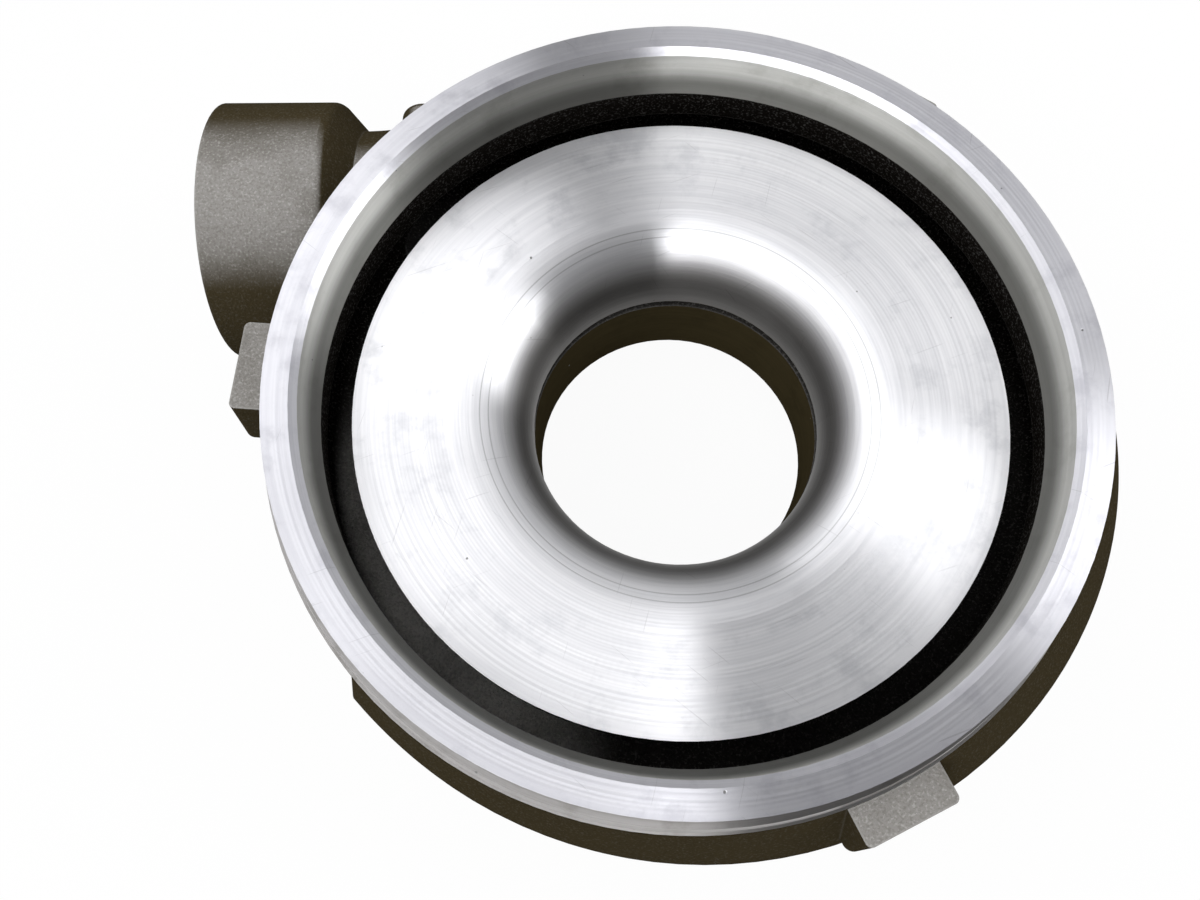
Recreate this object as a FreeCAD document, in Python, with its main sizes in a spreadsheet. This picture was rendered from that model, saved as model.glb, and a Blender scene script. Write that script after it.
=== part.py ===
import FreeCAD, Part
import math
import os
import Sketcher

# Compressor housing of a turbocharger: one aluminium sand casting with machined faces. Lengths are in
# millimetres. The origin is the middle of the inlet's end face, and +Z runs along the bore to the flange.
# A depth is measured down from the flange face, an angle from +X towards +Y.
SIZES = {
    "housing_height": 96.0,
    # Diffuser face, shroud contour and bore, which are turned in one setting
    "disc_radius": 82.8,
    "disc_depth": 19.5,
    "contour_radius": 18.4,
    "bore_radius": 38.0,
    # Mouth of the scroll, register and flange, measured outwards from the disc's edge
    "gap_width": 6.3,
    "gap_depth": 13.6,
    "mouth_flare": 1.2,
    "mouth_overlap": 3.5,
    "register_step": 2.7,
    "register_depth": 8.8,
    "register_blend": 15.5,
    "mouth_chamfer": 1.7,
    "rim_width": 8.2,
    "flange_edge": 3.0,
    "flank_angle": 20.0,
    "groove_depth": 4.4,
    "shoulder_depth": 8.0,
    "shoulder_step": 1.6,
    "ledge_depth": 12.0,
    "ledge_step": 1.3,
    "ledge_width": 0.6,
    # Drum under the flange, as cast
    "drum_depth": 37.0,
    "drum_draft": 5.0,
    "drum_rounding": 6.0,
    "back_rounding": 6.0,
    # Shroud ring, its slot and the chamber behind it
    "slot_depth": 38.0,
    "slot_width": 3.0,
    "ring_end_depth": 61.8,
    "ring_end_radius": 37.1,
    "ring_wall": 3.6,
    "ring_nose": 1.6,
    "chamber_depth": 34.0,
    "chamber_rounding": 4.5,
    "web_count": 4.0,
    "web_thickness": 5.0,
    "web_depth": 45.0,
    "web_angle": 30.0,
    # Inlet spigot, machined outside over its seat
    "inlet_bore_radius": 53.2,
    "inlet_wall": 3.95,
    "inlet_chamfer": 1.2,
    "seat_length": 24.0,
    "seat_step": 1.5,
    # Scroll: stations run round the axis from the tongue to the discharge
    "tongue_angle": 100.0,
    "scroll_sweep": 350.0,
    "tongue_wall": 4.0,
    "scroll_wall": 5.0,
    "panel_step": 2.6,
    "passage_radius_start": 5.5,
    "passage_radius_end": 24.0,
    "passage_roof_depth": 23.5,
    "scroll_offset_start": 2.8,
    "scroll_offset_peak": 10.7,
    "scroll_offset_end": 3.2,
    # Discharge: neck and collar, whose axis runs along -X. Insets are from the disc's and the flange's edge
    "outlet_inset": 10.7,
    "outlet_depth": 57.0,
    "neck_radius": 29.7,
    "neck_bore_radius": 24.5,
    "neck_inset": 10.5,
    "collar_radius": 38.0,
    "collar_slope": 7.2,
    "collar_rounding": 3.5,
    "collar_length": 33.6,
    "socket_radius": 31.75,
    "socket_depth": 22.0,
    "socket_chamfer": 1.5,
    # Lugs for the chuck, as cast
    "lug_angle": 55.2,
    "lug_count": 3.0,
    "lug_width": 23.5,
    "lug_stand": 8.9,
    "lug_depth": 14.5,
    "lug_height": 18.0,
    "lug_draft": 4.0,
    "lug_rounding": 1.5,
    # Blank boss for a pressure tap, on the discharge
    "boss_inset": 17.0,
    "boss_depth": 43.0,
    "boss_radius": 7.0,
    "boss_height": 2.7,
    "boss_rounding": 2.5,
}
# Numbers of sections, and shares of the scroll's sweep at which its outside changes
PASSAGE_STATIONS = 14
TONGUE_STATIONS = 5
PANEL_STATIONS = 9
DISCHARGE_STATIONS = 4
PASSAGE_SPLIT = 4
PANEL_START = 0.346
PANEL_END = 0.53
RISE_START = 0.43
RISE_END = 0.75


class Size:
    """A number, with the sheet's expression that gives it."""

    def __init__(self, number, text):
        self.number = number
        self.text = text

    def __add__(self, other):
        other = as_size(other)
        return Size(self.number + other.number, f"({self.text} + {other.text})")

    def __sub__(self, other):
        other = as_size(other)
        return Size(self.number - other.number, f"({self.text} - {other.text})")

    def __mul__(self, other):
        other = as_size(other)
        return Size(self.number * other.number, f"({self.text} * {other.text})")

    def __truediv__(self, other):
        other = as_size(other)
        return Size(self.number / other.number, f"({self.text} / {other.text})")

    def __neg__(self):
        return Size(-self.number, f"(0 - {self.text})")


def as_size(value):
    """A Size as it is, or a plain number as a Size."""
    return value if isinstance(value, Size) else Size(float(value), repr(float(value)))


def root(size):
    return Size(math.sqrt(size.number), f"sqrt({size.text})")


def tangent(size):
    return Size(math.tan(math.radians(size.number)), f"tan({size.text})")


doc = FreeCAD.newDocument("compressor_housing")
sheet = doc.addObject("Spreadsheet::Sheet", "Sizes")
s = {}
for row, (alias, number) in enumerate(SIZES.items(), start=1):
    sheet.set(f"A{row}", alias)
    sheet.set(f"B{row}", str(number))
    sheet.setAlias(f"B{row}", alias)
    s[alias] = Size(number, f"Sizes.{alias}")
doc.recompute()

body = doc.addObject("PartDesign::Body", "compressor_housing")
body.Label = "compressor_housing"
planes = {plane.Role: plane for plane in body.Origin.OriginFeatures}


def bind(item, path, size):
    """Ties a property, or a part of one, to the sheet."""
    item.setExpression(path, as_size(size).text)


def new_sketch(name, plane="XZ_Plane", base=(0, 0, 0), axis=(0, 1, 0), turn=0):
    """An empty sketch on one of the body's planes, shifted by base and turned about axis, both bound."""
    sketch = body.newObject("Sketcher::SketchObject", name)
    sketch.AttachmentSupport = (planes[plane], [""])
    sketch.MapMode = "FlatFace"
    base = [as_size(value) for value in base]
    turn = as_size(turn)
    rotation = FreeCAD.Rotation(FreeCAD.Vector(*axis), turn.number)
    sketch.AttachmentOffset = FreeCAD.Placement(FreeCAD.Vector(*[b.number for b in base]), rotation)
    for letter, value in zip("xyz", base):
        if value.number:
            bind(sketch, f"AttachmentOffset.Base.{letter}", value)
    if turn.number:
        bind(sketch, "AttachmentOffset.Rotation.Angle", turn)
    return sketch


def hold(sketch, kind, *places_and_size):
    """Adds a constraint with a length, bound to the sheet."""
    *places, size = places_and_size
    size = as_size(size)
    index = sketch.addConstraint(Sketcher.Constraint(kind, *places, size.number))
    bind(sketch, f"Constraints[{index}]", size)


def hold_point(sketch, geometry, end, x, y):
    """Holds a point at x and y, on an axis where its distance is zero."""
    for kind, axis, size in (("DistanceX", -2, as_size(x)), ("DistanceY", -1, as_size(y))):
        if size.number == 0:
            sketch.addConstraint(Sketcher.Constraint("PointOnObject", geometry, end, axis))
        else:
            hold(sketch, kind, -1, 1, geometry, end, size)


def outline(sketch, corners):
    """Draws a closed outline through corners of (x, y) or (x, y, rounding), each held in place."""
    points = [FreeCAD.Vector(as_size(c[0]).number, as_size(c[1]).number) for c in corners]
    radii = [c[2] if len(c) > 2 else None for c in corners]
    count = len(points)
    ways = [(points[(i + 1) % count] - points[i]).normalize() for i in range(count)]
    turns = [ways[i - 1].getAngle(ways[i]) for i in range(count)]
    setbacks = [r.number * math.tan(turns[i] / 2) if r else 0 for i, r in enumerate(radii)]
    lines = []
    for i in range(count):
        start = points[i] + ways[i] * setbacks[i]
        finish = points[(i + 1) % count] - ways[i] * setbacks[(i + 1) % count]
        lines.append(sketch.addGeometry(Part.LineSegment(start, finish), False))
    for i in range(count):
        before, after = lines[i - 1], lines[i]
        if radii[i] is None:
            sketch.addConstraint(Sketcher.Constraint("Coincident", before, 2, after, 1))
            hold_point(sketch, after, 1, corners[i][0], corners[i][1])
            continue
        left_turn = ways[i - 1].cross(ways[i]).z > 0
        side = FreeCAD.Vector(-ways[i - 1].y, ways[i - 1].x) * (1 if left_turn else -1)
        first = points[i] - ways[i - 1] * setbacks[i]
        last = points[i] + ways[i] * setbacks[i]
        centre = first + side * radii[i].number
        start, finish = (first, last) if left_turn else (last, first)
        start_angle = math.atan2(start.y - centre.y, start.x - centre.x)
        finish_angle = math.atan2(finish.y - centre.y, finish.x - centre.x)
        circle = Part.Circle(centre, FreeCAD.Vector(0, 0, 1), radii[i].number)
        arc = sketch.addGeometry(Part.ArcOfCircle(circle, start_angle, finish_angle), False)
        arc_first, arc_last = (1, 2) if left_turn else (2, 1)
        sketch.addConstraint(Sketcher.Constraint("Tangent", before, 2, arc, arc_first))
        sketch.addConstraint(Sketcher.Constraint("Tangent", arc, arc_last, after, 1))
        hold(sketch, "Radius", arc, radii[i])
        corner = sketch.addGeometry(Part.Point(points[i]), True)
        sketch.addConstraint(Sketcher.Constraint("PointOnObject", corner, 1, before))
        sketch.addConstraint(Sketcher.Constraint("PointOnObject", corner, 1, after))
        hold_point(sketch, corner, 1, corners[i][0], corners[i][1])


def circle_at(sketch, x, y, radius):
    """Draws a circle, held in place."""
    centre = FreeCAD.Vector(as_size(x).number, as_size(y).number)
    circle = sketch.addGeometry(Part.Circle(centre, FreeCAD.Vector(0, 0, 1), radius.number), False)
    hold_point(sketch, circle, 3, x, y)
    hold(sketch, "Radius", circle, radius)


def turned(kind, name, sketch, axis="V_Axis", angle=None):
    """A Revolution or Groove of the sketch about one of its own axes."""
    feature = body.newObject(f"PartDesign::{kind}", name)
    feature.Profile = sketch
    feature.ReferenceAxis = (sketch, [axis])
    feature.Angle = 360 if angle is None else angle.number
    if angle is not None:
        bind(feature, "Angle", angle)
    return feature


def lofted(kind, name, sketches):
    """An additive or subtractive loft through the sketches."""
    feature = body.newObject(f"PartDesign::{kind}", name)
    feature.Profile = sketches[0]
    feature.Sections = sketches[1:]
    return feature


def patterned(name, original, count):
    """Repeats a feature evenly round the bore's axis."""
    feature = body.newObject("PartDesign::PolarPattern", name)
    feature.Originals = [original]
    feature.Axis = (planes["Z_Axis"], [""])
    feature.Angle = 360
    feature.Occurrences = int(SIZES[count])
    bind(feature, "Occurrences", s[count])
    body.Tip = feature


def at_depth(depth):
    """The height of a place that lies depth below the flange face."""
    return s["housing_height"] - depth


# Radii outwards from the diffuser's edge
foot_radius = s["disc_radius"] + s["gap_width"]
register_radius = foot_radius + s["register_step"]
flange_radius = register_radius + s["rim_width"]
groove_radius = flange_radius - s["groove_depth"]
shoulder_radius = flange_radius + s["shoulder_step"]
ledge_radius = shoulder_radius + s["ledge_step"]
drum_radius = ledge_radius + (s["drum_depth"] - s["ledge_depth"]) * tangent(s["drum_draft"])
inlet_radius = s["inlet_bore_radius"] + s["inlet_wall"]
groove_flank = s["groove_depth"] * tangent(s["flank_angle"])
lug_reach = ledge_radius + s["lug_stand"]

# Places along and across the outlet's axis
outlet_offset = s["disc_radius"] - s["outlet_inset"]
neck_end = flange_radius - s["neck_inset"]
collar_start = neck_end + s["collar_slope"]
outlet_reach = collar_start + s["collar_length"]

# Solid of revolution: inlet spigot, back wall, drum, machined shoulder, V-band groove and flange
turned_outline = new_sketch("turned_outline")
outline(turned_outline, [
    (0, 0),
    (inlet_radius - s["inlet_chamfer"], 0),
    (inlet_radius, s["inlet_chamfer"]),
    (inlet_radius, s["seat_length"]),
    (inlet_radius + s["seat_step"], s["seat_length"]),
    (inlet_radius + s["seat_step"], at_depth(s["drum_depth"]), s["back_rounding"]),
    (drum_radius, at_depth(s["drum_depth"]), s["drum_rounding"]),
    (ledge_radius, at_depth(s["ledge_depth"])),
    (ledge_radius - s["ledge_width"], at_depth(s["ledge_depth"])),
    (shoulder_radius, at_depth(s["shoulder_depth"])),
    (groove_radius, at_depth(s["shoulder_depth"])),
    (groove_radius, at_depth(s["flange_edge"] + groove_flank)),
    (flange_radius, at_depth(s["flange_edge"])),
    (flange_radius, s["housing_height"]),
    (0, s["housing_height"]),
])
turned("Revolution", "turned_body", turned_outline)


def station(share):
    """The scroll's centreline radius, its depth and the passage's radius, at a share of its sweep."""
    rise = min(max((share - RISE_START) / (RISE_END - RISE_START), 0), 1)
    fall = max((share - RISE_END) / (1 - RISE_END), 0)
    area_start = s["passage_radius_start"] * s["passage_radius_start"]
    area_end = s["passage_radius_end"] * s["passage_radius_end"]
    passage = root(area_start + (area_end - area_start) * share)
    offset = (s["scroll_offset_start"] + (s["scroll_offset_peak"] - s["scroll_offset_start"]) * rise
              + (s["scroll_offset_end"] - s["scroll_offset_peak"]) * fall)
    return s["disc_radius"] + offset, s["passage_roof_depth"] + passage, passage


def discharge_station(index):
    """The discharge's distance along -X, its offset, its depth, and its outer and passage radii."""
    share = index / DISCHARGE_STATIONS
    blend = share * share * (3 - 2 * share)
    radius, depth, passage = station(1)
    outer = passage + s["scroll_wall"]
    return (
        neck_end * share,
        radius + (outlet_offset - radius) * blend,
        depth + (s["outlet_depth"] - depth) * blend,
        outer + (s["neck_radius"] - outer) * blend,
        passage + (s["neck_bore_radius"] - passage) * blend,
    )


def skin_section(name, share, wall):
    """Outer section of the scroll: round below, with a straight wall up to the shoulder."""
    fall = max((share - RISE_END) / (1 - RISE_END), 0)
    radius, depth, passage = station(share)
    outer = passage + wall
    top_radius = ledge_radius - s["ledge_width"] - s["rim_width"] * fall
    top = at_depth(s["ledge_depth"]) - s["ledge_width"]
    middle = at_depth(depth)
    sketch = new_sketch(name, turn=s["tongue_angle"] + s["scroll_sweep"] * share)
    centre = FreeCAD.Vector(radius.number, middle.number)
    corner = FreeCAD.Vector(top_radius.number, top.number)
    reach = corner - centre
    touch_angle = math.atan2(reach.y, reach.x) - math.acos(outer.number / reach.Length)
    touch = centre + FreeCAD.Vector(math.cos(touch_angle), math.sin(touch_angle)) * outer.number
    inner = FreeCAD.Vector(centre.x - outer.number, centre.y)
    shelf = FreeCAD.Vector(inner.x, corner.y)
    circle = Part.Circle(centre, FreeCAD.Vector(0, 0, 1), outer.number)
    arc = sketch.addGeometry(Part.ArcOfCircle(circle, math.pi, 2 * math.pi + touch_angle), False)
    wall = sketch.addGeometry(Part.LineSegment(touch, corner), False)
    roof = sketch.addGeometry(Part.LineSegment(corner, shelf), False)
    side = sketch.addGeometry(Part.LineSegment(shelf, inner), False)
    sketch.addConstraint(Sketcher.Constraint("Tangent", arc, 2, wall, 1))
    sketch.addConstraint(Sketcher.Constraint("Coincident", wall, 2, roof, 1))
    sketch.addConstraint(Sketcher.Constraint("Coincident", roof, 2, side, 1))
    sketch.addConstraint(Sketcher.Constraint("Tangent", side, 2, arc, 1))
    sketch.addConstraint(Sketcher.Constraint("Horizontal", roof))
    sketch.addConstraint(Sketcher.Constraint("Vertical", side))
    hold_point(sketch, arc, 3, radius, middle)
    hold(sketch, "Radius", arc, outer)
    hold_point(sketch, roof, 1, top_radius, top)
    return sketch


def round_section(name, indices, radius_of):
    """Round sections of the discharge, in planes across the outlet's axis."""
    sections = []
    for index in indices:
        place, offset, depth, outer, passage = discharge_station(index)
        sketch = new_sketch(f"{name}_{index}", base=(-place, 0, 0), turn=90)
        circle_at(sketch, offset, at_depth(depth), radius_of(outer, passage))
        sections.append(sketch)
    return sections


# Scroll's outside: the wall steps out at the start of a raised panel, which then fades away
tongue_sections = []
for index in range(TONGUE_STATIONS + 1):
    share = PANEL_START * index / TONGUE_STATIONS
    tongue_sections.append(skin_section(f"tongue_skin_{index}", share, s["tongue_wall"]))
lofted("AdditiveLoft", "tongue_skin", tongue_sections)
panel_sections = []
for index in range(PANEL_STATIONS + 1):
    share = PANEL_START + (1 - PANEL_START) * index / PANEL_STATIONS
    fade = max((PANEL_END - share) / (PANEL_END - PANEL_START), 0)
    wall = s["scroll_wall"] + s["panel_step"] * fade
    panel_sections.append(skin_section(f"scroll_skin_{index}", share, wall))
lofted("AdditiveLoft", "scroll_skin", panel_sections)

# Discharge that leaves the scroll
lofted("AdditiveLoft", "discharge_skin", round_section(
    "discharge", range(DISCHARGE_STATIONS + 1), lambda outer, passage: outer))

# Collar at the discharge's end, with a rounded shoulder
collar_outline = new_sketch("collar_outline", "XY_Plane", (0, outlet_offset, at_depth(s["outlet_depth"])))
outline(collar_outline, [
    (-outlet_reach, 0),
    (-neck_end, 0),
    (-neck_end, s["neck_radius"]),
    (-collar_start, s["collar_radius"], s["collar_rounding"]),
    (-outlet_reach, s["collar_radius"]),
])
turned("Revolution", "collar", collar_outline, "H_Axis")

# Blank boss on the discharge
boss_foot = (s["boss_inset"] - neck_end, outlet_offset, at_depth(s["boss_depth"]))
boss_outline = new_sketch("boss_outline", "XY_Plane", boss_foot)
boss_rise = s["neck_radius"] + s["boss_height"]
outline(boss_outline, [
    (0, 0),
    (s["boss_radius"], 0),
    (s["boss_radius"], boss_rise, s["boss_rounding"]),
    (0, boss_rise),
])
turned("Revolution", "boss", boss_outline)

# Lugs for the chuck: one is drawn, and the pattern repeats it
lug_top = (0, 0, at_depth(s["lug_depth"]))
lug_outline = new_sketch("lug_outline", "XY_Plane", lug_top, (0, 0, 1), s["lug_angle"])
outline(lug_outline, [
    (groove_radius, -s["lug_width"] / 2),
    (lug_reach, -s["lug_width"] / 2, s["lug_rounding"]),
    (lug_reach, s["lug_width"] / 2, s["lug_rounding"]),
    (groove_radius, s["lug_width"] / 2),
])
lug = body.newObject("PartDesign::Pad", "lug")
lug.Profile = lug_outline
lug.Reversed = True
lug.Length = SIZES["lug_height"]
bind(lug, "Length", s["lug_height"])
lug.TaperAngle = SIZES["lug_draft"]
bind(lug, "TaperAngle", s["lug_draft"])
patterned("lugs", lug, "lug_count")

# Turned inside: register, diffuser face, shroud contour and bore
inside_outline = new_sketch("inside_outline")
outline(inside_outline, [
    (0, s["housing_height"]),
    (register_radius + s["mouth_chamfer"], s["housing_height"]),
    (register_radius, at_depth(s["mouth_chamfer"])),
    (register_radius, at_depth(s["register_depth"]), s["register_blend"]),
    (foot_radius, at_depth(s["gap_depth"])),
    (s["disc_radius"], at_depth(s["disc_depth"])),
    (s["bore_radius"], at_depth(s["disc_depth"]), s["contour_radius"]),
    (s["bore_radius"], at_depth(s["slot_depth"] + s["slot_width"])),
    (s["ring_end_radius"], at_depth(s["ring_end_depth"])),
    (0, at_depth(s["ring_end_depth"])),
])
turned("Groove", "turned_inside", inside_outline)

# Mouth of the scroll, between the diffuser's edge and the register's foot
mouth_outline = new_sketch("mouth_outline")
mouth_floor = at_depth(s["passage_roof_depth"] + s["mouth_overlap"])
outline(mouth_outline, [
    (s["disc_radius"], mouth_floor),
    (foot_radius + s["mouth_flare"], mouth_floor),
    (foot_radius, at_depth(s["gap_depth"])),
    (s["disc_radius"], at_depth(s["disc_depth"])),
])
turned("Groove", "scroll_mouth", mouth_outline)

# Inlet bore, with the chamber round the shroud ring
ring_radius = s["bore_radius"] + s["ring_wall"]
ring_end = at_depth(s["ring_end_depth"])
nose_middle = s["ring_end_radius"] + s["ring_nose"]
chamber_outline = new_sketch("chamber_outline")
outline(chamber_outline, [
    (0, 0),
    (s["inlet_bore_radius"] + s["inlet_chamfer"], 0),
    (s["inlet_bore_radius"], s["inlet_chamfer"]),
    (s["inlet_bore_radius"], at_depth(s["chamber_depth"]), s["chamber_rounding"]),
    (ring_radius, at_depth(s["chamber_depth"]), s["chamber_rounding"]),
    (ring_radius, ring_end, s["ring_nose"]),
    (s["ring_end_radius"], ring_end),
    (0, ring_end),
])
turned("Groove", "inlet_chamber", chamber_outline)

# Webs that carry the shroud ring
web_outline = new_sketch("web_outline", "XY_Plane", (0, 0, ring_end), (0, 0, 1), s["web_angle"])
outline(web_outline, [
    (nose_middle, -s["web_thickness"] / 2),
    (inlet_radius - s["inlet_wall"] / 2, -s["web_thickness"] / 2),
    (inlet_radius - s["inlet_wall"] / 2, s["web_thickness"] / 2),
    (nose_middle, s["web_thickness"] / 2),
])
web = body.newObject("PartDesign::Pad", "web")
web.Profile = web_outline
web.Length = (s["ring_end_depth"] - s["web_depth"]).number
bind(web, "Length", s["ring_end_depth"] - s["web_depth"])
patterned("webs", web, "web_count")

# Slot between the shroud contour and the ring
slot_outline = new_sketch("slot_outline")
outline(slot_outline, [
    (s["ring_end_radius"] - s["ring_wall"], at_depth(s["slot_depth"] + s["slot_width"])),
    (ring_radius + s["ring_wall"], at_depth(s["slot_depth"] + s["slot_width"])),
    (ring_radius + s["ring_wall"], at_depth(s["slot_depth"])),
    (s["ring_end_radius"] - s["ring_wall"], at_depth(s["slot_depth"])),
])
turned("Groove", "shroud_slot", slot_outline)

# Scroll passage: its large end runs on through the neck, and its small end starts at the tongue
passage_sections = []
for index in range(PASSAGE_STATIONS + 1):
    share = index / PASSAGE_STATIONS
    radius, depth, passage = station(share)
    sketch = new_sketch(f"passage_{index:02d}", turn=s["tongue_angle"] + s["scroll_sweep"] * share)
    circle_at(sketch, radius, at_depth(depth), passage)
    passage_sections.append(sketch)
duct_sections = round_section("duct", range(1, DISCHARGE_STATIONS + 1), lambda outer, passage: passage)
lofted("SubtractiveLoft", "main_passage", passage_sections[PASSAGE_SPLIT:] + duct_sections)
lofted("SubtractiveLoft", "tongue_passage", passage_sections[:PASSAGE_SPLIT + 1])

# Socket in the collar, and the duct that joins it to the neck
socket_outline = new_sketch("socket_outline", "XY_Plane", (0, outlet_offset, at_depth(s["outlet_depth"])))
socket_floor = s["socket_depth"] - outlet_reach
outline(socket_outline, [
    (-outlet_reach, 0),
    (-neck_end, 0),
    (-neck_end, s["neck_bore_radius"]),
    (socket_floor, s["neck_bore_radius"] + s["socket_chamfer"]),
    (socket_floor, s["socket_radius"]),
    (s["socket_chamfer"] - outlet_reach, s["socket_radius"]),
    (-outlet_reach, s["socket_radius"] + s["socket_chamfer"]),
])
turned("Groove", "socket", socket_outline, "H_Axis")

doc.recompute()
failed = [item.Name for item in doc.Objects if {"Invalid", "Error"} & set(item.State)]
if failed:
    raise RuntimeError(f"features that failed: {failed}")
shape = body.Shape
if shape.isNull() or not shape.isValid() or len(shape.Solids) != 1:
    raise RuntimeError(f"{body.Label} is not one valid solid")
os.makedirs("parts", exist_ok=True)
shape.exportStep(f"parts/{body.Label}.step")
print(f"{body.Label}: {shape.Volume / 1000:.1f} cm3, {len(shape.Faces)} faces")
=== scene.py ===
import math

import bpy
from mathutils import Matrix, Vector

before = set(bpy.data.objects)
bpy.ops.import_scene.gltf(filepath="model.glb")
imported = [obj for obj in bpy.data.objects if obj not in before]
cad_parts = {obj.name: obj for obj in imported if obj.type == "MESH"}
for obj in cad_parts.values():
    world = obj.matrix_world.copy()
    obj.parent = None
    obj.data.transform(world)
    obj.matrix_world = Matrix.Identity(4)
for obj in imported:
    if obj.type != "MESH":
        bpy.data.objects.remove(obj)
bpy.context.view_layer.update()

# Studio: a white floor that keeps the shadow, a white backdrop under a grey ceiling, and soft lamps.
# The camera stands where the photograph was taken, above the flange and a little to the front,
# and looks down into the bore.
CAMERA_PLACE = (-0.02109, -0.09898, 0.32708)
CAMERA_TILT = 19.048
CAMERA_TURN = -0.462
CAMERA_LENS = 31.943
SENSOR_WIDTH = 36.0
NEAREST = 0.01
FURTHEST = 50.0

camera_data = bpy.data.cameras.new("photo_camera")
camera_data.lens = CAMERA_LENS
camera_data.sensor_width = SENSOR_WIDTH
camera_data.clip_start = NEAREST
camera_data.clip_end = FURTHEST
camera = bpy.data.objects.new("photo_camera", camera_data)
camera.location = CAMERA_PLACE
camera.rotation_euler = (math.radians(CAMERA_TILT), 0, math.radians(CAMERA_TURN))
bpy.context.collection.objects.link(camera)
bpy.context.scene.camera = camera
bpy.context.scene.view_settings.view_transform = "Standard"


def add_node(tree, kind, inputs=None, **settings):
    """A shader node with its settings. Each input takes a value, or another node's output."""
    node = tree.nodes.new(kind)
    for name, value in settings.items():
        setattr(node, name, value)
    for name, value in (inputs or {}).items():
        if isinstance(value, bpy.types.NodeSocket):
            tree.links.new(value, node.inputs[name])
        else:
            node.inputs[name].default_value = value
    return node


def calculate(tree, operation, *values):
    """The output of a Math node."""
    return add_node(tree, "ShaderNodeMath", dict(enumerate(values)), operation=operation).outputs[0]


def seen_directly(tree):
    """One where a camera, glossy or transmission ray looks, and zero for diffuse light."""
    rays = add_node(tree, "ShaderNodeLightPath").outputs
    mirrored = calculate(tree, "MAXIMUM", rays["Is Camera Ray"], rays["Is Glossy Ray"])
    return calculate(tree, "MAXIMUM", mirrored, rays["Is Transmission Ray"])


# The camera sees a white world. Metal sees white round the horizon and a grey ceiling overhead, and the
# light on matt surfaces is dim and even.
WORLD_LIGHT = 0.25
CEILING = 0.21
CEILING_START = 0.15
CEILING_FULL = 0.55
world = bpy.data.worlds.new("backdrop")
world.use_nodes = True
bpy.context.scene.world = world
tree = world.node_tree
background = tree.nodes["Background"]
background.inputs["Color"].default_value = (1.0, 1.0, 1.0, 1.0)
way = add_node(tree, "ShaderNodeTexCoord").outputs["Generated"]
ceiling = add_node(tree, "ShaderNodeMapRange", {
    "Value": add_node(tree, "ShaderNodeSeparateXYZ", {0: way}).outputs["Z"],
    "From Min": CEILING_START,
    "From Max": CEILING_FULL,
    "To Min": 1.0,
    "To Max": CEILING,
})
camera_ray = add_node(tree, "ShaderNodeLightPath").outputs["Is Camera Ray"]
overhead = add_node(tree, "ShaderNodeMix", {"Factor": camera_ray, "A": ceiling.outputs[0], "B": 1.0})
strength = add_node(tree, "ShaderNodeMix", {
    "Factor": seen_directly(tree), "A": WORLD_LIGHT, "B": overhead.outputs[0],
})
tree.links.new(strength.outputs[0], background.inputs["Strength"])

# The floor glows white to the camera and to the metal, and is grey where its light falls on the object
FLOOR_SIZE = 6.0
FLOOR_SHADE = 0.05
FLOOR_PALE = 0.9
FLOOR_GREY = 0.35
bpy.ops.object.select_all(action="DESELECT")
bpy.ops.mesh.primitive_plane_add(size=FLOOR_SIZE, location=(0, 0, 0))
floor = bpy.context.object
floor.name = "floor"
floor_white = bpy.data.materials.new("white_floor")
floor_white.use_nodes = True
tree = floor_white.node_tree
tree.nodes.clear()
white = add_node(tree, "ShaderNodeEmission", {"Color": (1, 1, 1, 1), "Strength": 1.0})
matt = add_node(tree, "ShaderNodeBsdfDiffuse", {"Color": (FLOOR_PALE, FLOOR_PALE, FLOOR_PALE, 1)})
grey = add_node(tree, "ShaderNodeBsdfDiffuse", {"Color": (FLOOR_GREY, FLOOR_GREY, FLOOR_GREY, 1)})
shaded = add_node(tree, "ShaderNodeMixShader", {0: FLOOR_SHADE, 1: white.outputs[0], 2: matt.outputs[0]})
either = add_node(tree, "ShaderNodeMixShader", {
    0: seen_directly(tree), 1: grey.outputs[0], 2: shaded.outputs[0],
})
add_node(tree, "ShaderNodeOutputMaterial", {"Surface": either.outputs[0]})
floor.data.materials.append(floor_white)

# Lamps: upright windows round the part, as (name, azimuth in degrees, width, foot, top, power). A turned
# face spreads each one into a fan of light, which ends in a sharp step along a radius.
WINDOW_DISTANCE = 0.80
WINDOWS = (
    ("window_left", 178.5, 1.184, 0.70, 3.07, 20.5),
    ("window_front", 247.5, 1.020, 0.70, 3.07, 26.5),
    ("window_right", 5, 0.500, 0.45, 1.30, 4.6),
    ("window_back_left", 121, 0.614, 0.60, 1.90, 4.6),
    ("window_back", 63.5, 0.696, 1.15, 2.90, 4.6),
)
STRIP_PLACE = Vector((0.040, -0.160, 0.62))
STRIP_AIM = Vector((0, 0, 0.08))
STRIP_WIDTH = 0.045
STRIP_LENGTH = 0.25
STRIP_POWER = 0.085


def add_lamp(name, place, aim, width, tall, power):
    """A soft panel that faces a point."""
    data = bpy.data.lights.new(name, "AREA")
    data.shape = "RECTANGLE"
    data.size = width
    data.size_y = tall
    data.energy = power
    lamp = bpy.data.objects.new(name, data)
    lamp.location = place
    lamp.rotation_euler = (place - aim).to_track_quat("Z", "Y").to_euler()
    bpy.context.collection.objects.link(lamp)


for name, azimuth, width, foot, top, power in WINDOWS:
    turn = math.radians(azimuth)
    middle = Vector((0, 0, (foot + top) / 2))
    outward = Vector((math.cos(turn), math.sin(turn), 0)) * WINDOW_DISTANCE
    add_lamp(name, middle + outward, middle, width, top - foot, power)
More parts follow.
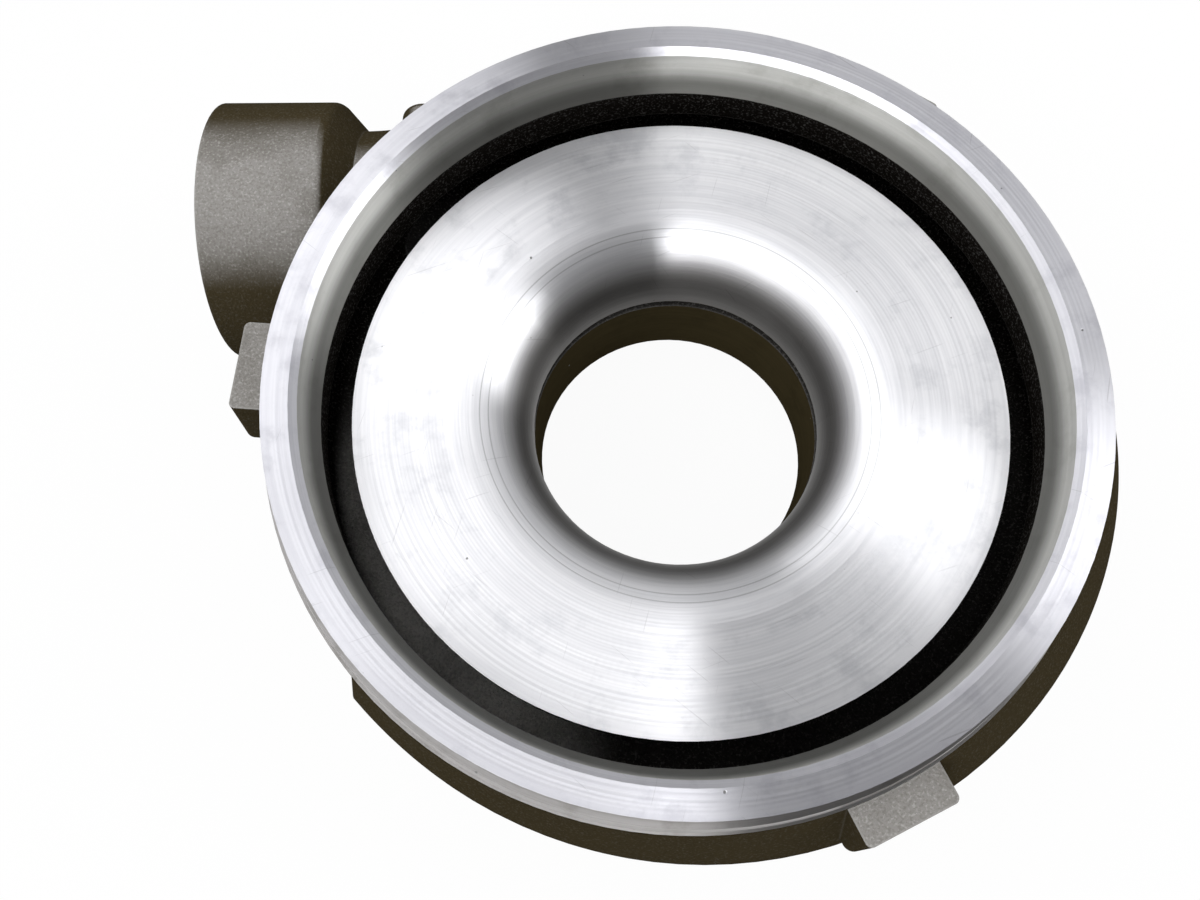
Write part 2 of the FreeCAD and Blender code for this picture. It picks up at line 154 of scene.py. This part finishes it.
# A small strip beside the camera draws the two thin streaks, in front of the bore and behind it
add_lamp("strip_above", STRIP_PLACE, STRIP_AIM, STRIP_WIDTH, STRIP_LENGTH, STRIP_POWER)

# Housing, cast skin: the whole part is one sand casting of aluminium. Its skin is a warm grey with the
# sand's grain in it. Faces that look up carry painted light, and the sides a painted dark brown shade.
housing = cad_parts["compressor_housing"]


def new_group(name, inputs, outputs):
    """An empty shader node group with named sockets, which are floats unless they are given a type."""
    tree = bpy.data.node_groups.new(name, "ShaderNodeTree")
    for direction, sockets in (("INPUT", inputs), ("OUTPUT", outputs)):
        for socket in sockets:
            label, kind = socket if isinstance(socket, tuple) else (socket, "NodeSocketFloat")
            tree.interface.new_socket(label, in_out=direction, socket_type=kind)
    return tree, tree.nodes.new("NodeGroupInput").outputs, tree.nodes.new("NodeGroupOutput").inputs


def new_material(name):
    """A material with nothing in its tree but a Principled shader and an output."""
    material = bpy.data.materials.new(name)
    material.use_nodes = True
    tree = material.node_tree
    return material, tree, tree.nodes["Principled BSDF"]


def ramp(tree, value, low, high, to_low=0.0, to_high=1.0):
    """A value eased from its range low to high onto another range, and held at its ends."""
    node = add_node(tree, "ShaderNodeMapRange", {
        "Value": value, "From Min": low, "From Max": high, "To Min": to_low, "To Max": to_high,
    }, interpolation_type="SMOOTHSTEP")
    return node.outputs[0]


def vector(tree, operation, *values):
    """The outputs of a Vector Math node: Value for a length or a dot product, and Vector for the rest."""
    return add_node(tree, "ShaderNodeVectorMath", dict(enumerate(values)), operation=operation).outputs


def blend_colours(tree, share, first, second):
    """Two colours mixed by a share."""
    node = add_node(tree, "ShaderNodeMix", {0: share, 6: first, 7: second}, data_type="RGBA")
    return node.outputs[2]


def noise(tree, place, scale, detail=3.0, roughness=0.55):
    """A noise from zero to one."""
    node = add_node(tree, "ShaderNodeTexNoise", {
        "Vector": place, "Scale": scale, "Detail": detail, "Roughness": roughness,
    })
    return node.outputs["Fac"]


# Cast grain: coarse sand grains with a slow swell, flecks on the crests, which stand partly for painted
# glints, pocks in the hollows, and a film in clouds. Each range says where in its noise the mark starts
# and where it is full.
GRAIN_SCALE = 1400.0
GRAIN_DETAIL = 4.0
GRAIN_ROUGHNESS = 0.6
FLECK_SCALE = 1500.0
FLECK_DETAIL = 2.0
FLECK_RANGE = (0.52, 0.70)
POCK_RANGE = (0.54, 0.38)
SWELL_SCALE = 110.0
FILM_SCALE = 45.0
FILM_RANGE = (0.35, 0.65)
cast_grain, given, out = new_group("cast_grain", ["Grain"], ["Height", "Fleck", "Pock", "Film"])
place = add_node(cast_grain, "ShaderNodeTexCoord").outputs["Object"]
grain = noise(cast_grain, place, GRAIN_SCALE, GRAIN_DETAIL, GRAIN_ROUGHNESS)
swell = noise(cast_grain, place, SWELL_SCALE)
rough = calculate(cast_grain, "MULTIPLY", grain, given["Grain"])
cast_grain.links.new(calculate(cast_grain, "ADD", rough, swell), out["Height"])
fleck = noise(cast_grain, place, FLECK_SCALE, FLECK_DETAIL)
cast_grain.links.new(ramp(cast_grain, fleck, *FLECK_RANGE), out["Fleck"])
cast_grain.links.new(ramp(cast_grain, grain, *POCK_RANGE), out["Pock"])
cast_grain.links.new(ramp(cast_grain, noise(cast_grain, place, FILM_SCALE), *FILM_RANGE), out["Film"])

# Edge wear: one along an edge within the radius, and zero on the flat. The range is the cosine between
# the surface and its rounded self.
EDGE_SAMPLES = 4
EDGE_RANGE = (0.995, 0.90)
edge_wear, given, out = new_group("edge_wear", ["Radius"], ["Mask"])
rounded = add_node(edge_wear, "ShaderNodeBevel", {"Radius": given["Radius"]}, samples=EDGE_SAMPLES)
flat = add_node(edge_wear, "ShaderNodeNewGeometry").outputs["Normal"]
along = vector(edge_wear, "DOT_PRODUCT", rounded.outputs[0], flat)["Value"]
edge_wear.links.new(ramp(edge_wear, along, *EDGE_RANGE), out["Mask"])

# The way that the faces with painted light look, and the way from the axis to the passage's stretch of
# painted light, each with the cosines between which it takes over
PAINTED_LIGHT_WAY = (0.0, -0.25, 0.968)
PAINTED_LIGHT_RANGE = (0.74, 0.99)
LIT_WAY = (-0.819, -0.574, 0.0)
LIT_RANGE = (0.70, 0.97)
UNLIT_SHARE = 0.04
# How far each mark covers the skin, and the radii of the worn and of the softened edge
FILM_SHARE = 0.75
POCK_SHARE = 0.22
FLECK_SHARE = 0.35
EDGE_SHARE = 0.55
SIDE_WEAR = 0.15
FLECK_POLISH = 0.12
WORN_RADIUS = 0.0009
SOFT_RADIUS = 0.0008


def cast_material(name, shaded_side, top, fleck_and_glint_colour, roughness, grain, depth, lit_stretch=False):
    """A cast finish: its painted shade on the sides, its painted light on faces that look up, and its
    flecks.

    With lit_stretch the painted light shows over one stretch only, and the rest is as dark as the sides.
    """
    material, tree, shader = new_material(name)
    marks = add_node(tree, "ShaderNodeGroup", {"Grain": grain}, node_tree=cast_grain).outputs
    edges = add_node(tree, "ShaderNodeGroup", {"Radius": WORN_RADIUS}, node_tree=edge_wear).outputs
    coordinates = add_node(tree, "ShaderNodeTexCoord").outputs
    # Painted light: faces that look up and a little to the front take the top colour, the rest the shaded
    # side colour
    upward = vector(tree, "DOT_PRODUCT", coordinates["Normal"], PAINTED_LIGHT_WAY)["Value"]
    painted_light = ramp(tree, upward, *PAINTED_LIGHT_RANGE)
    if lit_stretch:
        flat = vector(tree, "MULTIPLY", coordinates["Object"], (1, 1, 0))["Vector"]
        outward = vector(tree, "NORMALIZE", flat)["Vector"]
        stretch = vector(tree, "DOT_PRODUCT", outward, LIT_WAY)["Value"]
        painted_light = calculate(tree, "MULTIPLY", painted_light, ramp(tree, stretch, *LIT_RANGE, UNLIT_SHARE, 1.0))
    lit = calculate(tree, "MULTIPLY", painted_light, ramp(tree, marks["Film"], 0, 1, FILM_SHARE, 1.0))
    skin = blend_colours(tree, lit, shaded_side, top)
    skin = blend_colours(tree, calculate(tree, "MULTIPLY", marks["Pock"], POCK_SHARE), skin, shaded_side)
    # Flecks are real grain with painted glints, worn edges are real wear; both fade on the painted-shade
    # sides
    flecked = calculate(tree, "MULTIPLY", marks["Fleck"], FLECK_SHARE)
    edged = calculate(tree, "MULTIPLY", edges["Mask"], EDGE_SHARE)
    worn = calculate(tree, "MAXIMUM", flecked, edged)
    worn = calculate(tree, "MULTIPLY", worn, ramp(tree, painted_light, 0, 1, SIDE_WEAR, 1.0))
    tree.links.new(blend_colours(tree, worn, skin, fleck_and_glint_colour), shader.inputs["Base Color"])
    polish = ramp(tree, marks["Fleck"], 0, 1, roughness, roughness - FLECK_POLISH)
    tree.links.new(polish, shader.inputs["Roughness"])
    shader.inputs["Metallic"].default_value = 0.0
    shader.inputs["Specular IOR Level"].default_value = 0.0
    softened = add_node(tree, "ShaderNodeBevel", {"Radius": SOFT_RADIUS}, samples=EDGE_SAMPLES)
    bump = add_node(tree, "ShaderNodeBump", {
        "Strength": 1.0, "Distance": depth, "Height": marks["Height"], "Normal": softened.outputs[0],
    })
    tree.links.new(bump.outputs[0], shader.inputs["Normal"])
    return material


# The outside: a dark brown painted shade on its sides, and a warm grey painted light on faces that look
# up
cast_outside = cast_material(
    "sand_cast_skin", shaded_side=(0.052, 0.041, 0.022, 1), top=(0.285, 0.275, 0.262, 1),
    fleck_and_glint_colour=(0.56, 0.55, 0.53, 1), roughness=0.56, grain=1.0, depth=0.00036)
# The passage: painted near black as shade, with painted light on the faces that look up along one stretch
cast_inside = cast_material(
    "sand_cast_passage", shaded_side=(0.007, 0.006, 0.005, 1), top=(0.74, 0.72, 0.69, 1),
    fleck_and_glint_colour=(0.92, 0.90, 0.87, 1), roughness=0.60, grain=1.3, depth=0.0006, lit_stretch=True)

# Housing, turned faces: the flange, register, disc, contour and bore are cut in one setting, so the
# tool's marks run in rings round the bore. Light spreads across the rings and not along them.
RING_SLOPE = 1.37
STREAK_LENGTH = (1.6, 1.6, 1.6)
STREAK_LANES = 620.0
STREAK_DETAIL = 4.0
STREAK_ROUGHNESS = 0.6
turning_marks, given, out = new_group(
    "turning_marks", ["Across", ("Around", "NodeSocketVector"), "Pitch"], ["Height", "Streak"])
rings = add_node(turning_marks, "ShaderNodeTexNoise", {
    "W": calculate(turning_marks, "DIVIDE", given["Across"], given["Pitch"]), "Scale": 1.0, "Detail": 0.0,
}, noise_dimensions="1D")
turning_marks.links.new(rings.outputs["Fac"], out["Height"])
spread = vector(turning_marks, "MULTIPLY", given["Around"], STREAK_LENGTH)["Vector"]
lane = add_node(turning_marks, "ShaderNodeCombineXYZ", {
    "Z": calculate(turning_marks, "MULTIPLY", given["Across"], STREAK_LANES),
})
lane_place = vector(turning_marks, "ADD", spread, lane.outputs[0])["Vector"]
streak = noise(turning_marks, lane_place, 1.0, STREAK_DETAIL, STREAK_ROUGHNESS)
turning_marks.links.new(streak, out["Streak"])

# Handling marks: straight hairline scratches three ways, as (turn, threshold), small pits and soft
# cloudy stains
HAIRLINES = ((0.35, 0.74), (1.30, 0.75), (2.45, 0.745))
HAIRLINE_SIZE = (0.018, 0.00055, 0.018)
HAIRLINE_EDGE = 0.04
PIT_SCALE = 210.0
PIT_CHOICE = (0.93, 0.95)
PIT_RANGE = (0.09, 0.05)
STAIN_SCALE = 95.0
STAIN_DETAIL = 5.0
STAIN_ROUGHNESS = 0.65
STAIN_RANGE = (0.48, 0.72)
handling, given, out = new_group("handling_marks", [], ["Scratch", "Pit", "Stain"])
place = add_node(handling, "ShaderNodeTexCoord").outputs["Object"]
hairlines = []
for turn, threshold in HAIRLINES:
    drawn = add_node(handling, "ShaderNodeMapping", {
        "Vector": place, "Rotation": (0, 0, turn), "Scale": HAIRLINE_SIZE,
    }, vector_type="TEXTURE")
    line = noise(handling, drawn.outputs[0], 1.0, 1.0)
    hairlines.append(ramp(handling, line, threshold, threshold + HAIRLINE_EDGE))
either_way = calculate(handling, "MAXIMUM", hairlines[1], hairlines[2])
handling.links.new(calculate(handling, "MAXIMUM", hairlines[0], either_way), out["Scratch"])
dots = add_node(handling, "ShaderNodeTexVoronoi", {"Vector": place, "Scale": PIT_SCALE})
lot = add_node(handling, "ShaderNodeSeparateXYZ", {0: dots.outputs["Color"]}).outputs["X"]
chosen = ramp(handling, lot, *PIT_CHOICE)
pit = calculate(handling, "MULTIPLY", ramp(handling, dots.outputs["Distance"], *PIT_RANGE), chosen)
handling.links.new(pit, out["Pit"])
clouds = noise(handling, place, STAIN_SCALE, STAIN_DETAIL, STAIN_ROUGHNESS)
handling.links.new(ramp(handling, clouds, *STAIN_RANGE), out["Stain"])

# How far the marks show on a turned face, and the colours of what is scratched or pitted
STREAK_RANGE = (0.3, 0.7)
STREAK_SHARE = 0.30
STAIN_SHARE = 0.45
DULL_RANGE = (0.3, 1.6)
DULL_SPAN = 0.02
PIT_DEPTH = 2.0
SCRATCH_COLOUR = (0.34, 0.34, 0.36, 1)
PIT_COLOUR = (0.22, 0.22, 0.22, 1)
# The register wall is painted darker towards its foot as shade, between two heights
WALL_LIGHT = 0.0905
WALL_DARK = 0.0845
WALL_SHADE = 0.80
WALL_SHADE_COLOUR = (0.05, 0.05, 0.045, 1)
# The shroud face, from its rim inwards by radius: the ragged edge, the stains' end, the two steps that
# the tool left, and the painted shade on its fall into the bore
RAGGED_EDGE = 0.08303
RAGGED_WIDTH = 0.0001
RAGGED_COLOUR = (0.01, 0.01, 0.01, 1)
NICK_SCALE = 900.0
NICK_DEPTH = 0.0005
MOTTLE_FULL = 0.0605
MOTTLE_START = 0.0590
INNER_MOTTLE = 0.15
TOOL_STEPS = (0.0487, 0.0508)
STEP_WIDTH = 0.00016
STEP_SHARE = 0.45
STEP_COLOUR = (0.30, 0.30, 0.31, 1)
FALL_START = 0.0492
FALL_END = 0.0398
FALL_SHADE = 0.89
FALL_SHADE_COLOUR = (0.040, 0.036, 0.028, 1)


def shroud_face(tree, painted, place, radius):
    """The face's colour with tool steps, painted shade on its fall into the bore, and a ragged outer
    edge.
    """
    for step in TOOL_STEPS:
        line = calculate(tree, "COMPARE", radius, step, STEP_WIDTH)
        painted = blend_colours(tree, calculate(tree, "MULTIPLY", line, STEP_SHARE), painted, STEP_COLOUR)
    # Painted shade: the face darkens as it falls into the bore
    fall = ramp(tree, radius, FALL_END, FALL_START, FALL_SHADE, 0.0)
    painted = blend_colours(tree, fall, painted, FALL_SHADE_COLOUR)
    nick = calculate(tree, "MULTIPLY", noise(tree, place, NICK_SCALE), NICK_DEPTH)
    nicked = calculate(tree, "ADD", radius, nick)
    ragged = ramp(tree, nicked, RAGGED_EDGE, RAGGED_EDGE + RAGGED_WIDTH)
    return blend_colours(tree, ragged, painted, RAGGED_COLOUR)


def turned_material(name, colour, stain_colour, roughness, pitch, depth, axis="Z", centre=(0, 0, 0),
                    face=False, metallic=1.0, scratches=0.0, shaded=False):
    """A turned finish whose rings run round an axis, with stains, scratches and pits.

    The face is the shroud's, and shaded paints shade on the register wall.
    """
    material, tree, shader = new_material(name)
    coordinates = add_node(tree, "ShaderNodeTexCoord").outputs
    offset = vector(tree, "SUBTRACT", coordinates["Object"], centre)["Vector"]
    parts = add_node(tree, "ShaderNodeSeparateXYZ", {0: offset}).outputs
    first, second, along = ("X", "Y", "Z") if axis == "Z" else ("Y", "Z", "X")
    flat = add_node(tree, "ShaderNodeCombineXYZ", {first: parts[first], second: parts[second]}).outputs[0]
    around = vector(tree, "NORMALIZE", flat)["Vector"]
    radius = vector(tree, "LENGTH", flat)["Value"]
    across = calculate(tree, "ADD", radius, calculate(tree, "MULTIPLY", parts[along], RING_SLOPE))
    spindle = (0, 0, 1) if axis == "Z" else (1, 0, 0)
    ring_way = vector(tree, "CROSS_PRODUCT", spindle, around)["Vector"]
    over = vector(tree, "CROSS_PRODUCT", ring_way, coordinates["Normal"])["Vector"]
    tree.links.new(vector(tree, "NORMALIZE", over)["Vector"], shader.inputs["Tangent"])
    marks = add_node(tree, "ShaderNodeGroup", {
        "Across": across, "Around": around, "Pitch": pitch,
    }, node_tree=turning_marks).outputs
    wear = add_node(tree, "ShaderNodeGroup", node_tree=handling).outputs
    streaks = ramp(tree, marks["Streak"], *STREAK_RANGE, 0.0, STREAK_SHARE)
    painted = blend_colours(tree, streaks, colour, stain_colour)
    mottle = calculate(tree, "MULTIPLY", wear["Stain"], STAIN_SHARE)
    if face:
        outer = ramp(tree, radius, MOTTLE_START, MOTTLE_FULL, INNER_MOTTLE, 1.0)
        mottle = calculate(tree, "MULTIPLY", mottle, outer)
    painted = blend_colours(tree, mottle, painted, stain_colour)
    scratched = calculate(tree, "MULTIPLY", wear["Scratch"], scratches)
    painted = blend_colours(tree, scratched, painted, SCRATCH_COLOUR)
    painted = blend_colours(tree, wear["Pit"], painted, PIT_COLOUR)
    # Painted shade towards the foot of the register wall
    if shaded:
        low = ramp(tree, parts["Z"], WALL_DARK, WALL_LIGHT, WALL_SHADE, 0.0)
        painted = blend_colours(tree, low, painted, WALL_SHADE_COLOUR)
    if face:
        painted = shroud_face(tree, painted, coordinates["Object"], radius)
    tree.links.new(painted, shader.inputs["Base Color"])
    duller = calculate(tree, "ADD", marks["Streak"], wear["Stain"])
    duller = ramp(tree, duller, *DULL_RANGE, roughness - DULL_SPAN, roughness + DULL_SPAN)
    tree.links.new(duller, shader.inputs["Roughness"])
    shader.inputs["Metallic"].default_value = metallic
    shader.inputs["Specular IOR Level"].default_value = 0.0
    shader.inputs["Anisotropic"].default_value = 1.0
    sunk = calculate(tree, "MULTIPLY", wear["Pit"], PIT_DEPTH)
    height = calculate(tree, "SUBTRACT", marks["Height"], sunk)
    bump = add_node(tree, "ShaderNodeBump", {"Strength": 1.0, "Distance": depth, "Height": height})
    tree.links.new(bump.outputs[0], shader.inputs["Normal"])
    return material


SOCKET_AXIS = (0.0, 0.0721, 0.039)
bright = turned_material(
    "fine_turned_face", (0.90, 0.90, 0.93, 1), (0.56, 0.57, 0.61, 1), roughness=0.31, pitch=0.00070,
    depth=0.000022, face=True, scratches=0.24)
flange = turned_material(
    "turned_flange_face", (0.66, 0.66, 0.70, 1), (0.40, 0.40, 0.45, 1), roughness=0.305, pitch=0.00070,
    depth=0.000024, scratches=0.40)
wall = turned_material(
    "turned_register_wall", (0.56, 0.56, 0.53, 1), (0.36, 0.36, 0.33, 1), roughness=0.34, pitch=0.00060,
    depth=0.000020, shaded=True)
groove = turned_material(
    "turned_clamp_groove", (0.40, 0.39, 0.39, 1), (0.20, 0.19, 0.17, 1), roughness=0.36, pitch=0.00040,
    depth=0.000020)
# The bore is painted a dark olive-brown and matt, as the shade that fills it
bore = turned_material(
    "turned_bore", (0.052, 0.041, 0.020, 1), (0.030, 0.024, 0.012, 1), roughness=0.40, pitch=0.00040,
    depth=0.000015, metallic=0.0)
socket = turned_material(
    "turned_socket", (0.50, 0.50, 0.52, 1), (0.34, 0.34, 0.35, 1), roughness=0.34, pitch=0.00045,
    depth=0.000015, axis="X", centre=SOCKET_AXIS)

# Housing, zones: each machined face takes its finish from its place on the casting, in metres. The cast
# faces that are left fall into stretches that the machined ones part: the outside, and the passages.
FLANGE_TOP = 0.0959
DISC_EDGE = 0.0829
DISC_TOP = 0.0764
REGISTER_FOOT = 0.0823
REGISTER_REACH = 0.0937
REGISTER_TOP = 0.0943
GROOVE_END = 0.0839
GROOVE_REACH = 0.1030
BORE_REACH = 0.0381
SPIGOT_REACH = 0.0572
SEAT_END = 0.0241
INLET_BORE = 0.0545
CONTOUR_REACH = 0.0565
SLOT_TOP = 0.0581
CHAMBER_END = 0.0346
COLLAR_END = -0.1290
SOCKET_START = -0.1000
SOCKET_REACH = 0.0335
FINISHES = (cast_outside, cast_inside, bright, flange, wall, groove, bore, socket)
housing.data.materials.clear()
for finish in FINISHES:
    housing.data.materials.append(finish)


def machined_finish(face):
    """The finish of one machined face of the casting, or None for a cast one."""
    x, y, z = face.center
    radius = math.hypot(x, y)
    socket_radius = math.hypot(y - SOCKET_AXIS[1], z - SOCKET_AXIS[2])
    if z > FLANGE_TOP:
        return flange
    if radius < DISC_EDGE and z > DISC_TOP or radius < CONTOUR_REACH and z > SLOT_TOP:
        return bright
    if z > REGISTER_FOOT and radius < REGISTER_REACH:
        return wall if z < REGISTER_TOP else flange
    if z > GROOVE_END and radius < GROOVE_REACH:
        return groove
    if radius < BORE_REACH:
        return bore
    if x < SOCKET_START and socket_radius < SOCKET_REACH or x < COLLAR_END:
        return socket
    if z < SEAT_END and radius < SPIGOT_REACH:
        return groove if radius > INLET_BORE else bore
    if z < CHAMBER_END and radius < INLET_BORE:
        return bore
    return None


cast_faces = []
for face in housing.data.polygons:
    finish = machined_finish(face)
    face.material_index = FINISHES.index(finish or cast_inside)
    if finish is None:
        cast_faces.append(face)

# The outside is all that joins, edge to edge, on to the cast face furthest to the right
places = [tuple(round(c, 6) for c in vertex.co) for vertex in housing.data.vertices]
edges_of = {}
faces_at = {}
for face in cast_faces:
    edges_of[face.index] = [frozenset(places[v] for v in pair) for pair in face.edge_keys]
    for edge in edges_of[face.index]:
        faces_at.setdefault(edge, []).append(face.index)
waiting = [max(cast_faces, key=lambda face: face.center.x).index]
outside = set(waiting)
while waiting:
    for edge in edges_of[waiting.pop()]:
        for index in faces_at[edge]:
            if index not in outside:
                outside.add(index)
                waiting.append(index)
for index in outside:
    housing.data.polygons[index].material_index = FINISHES.index(cast_outside)
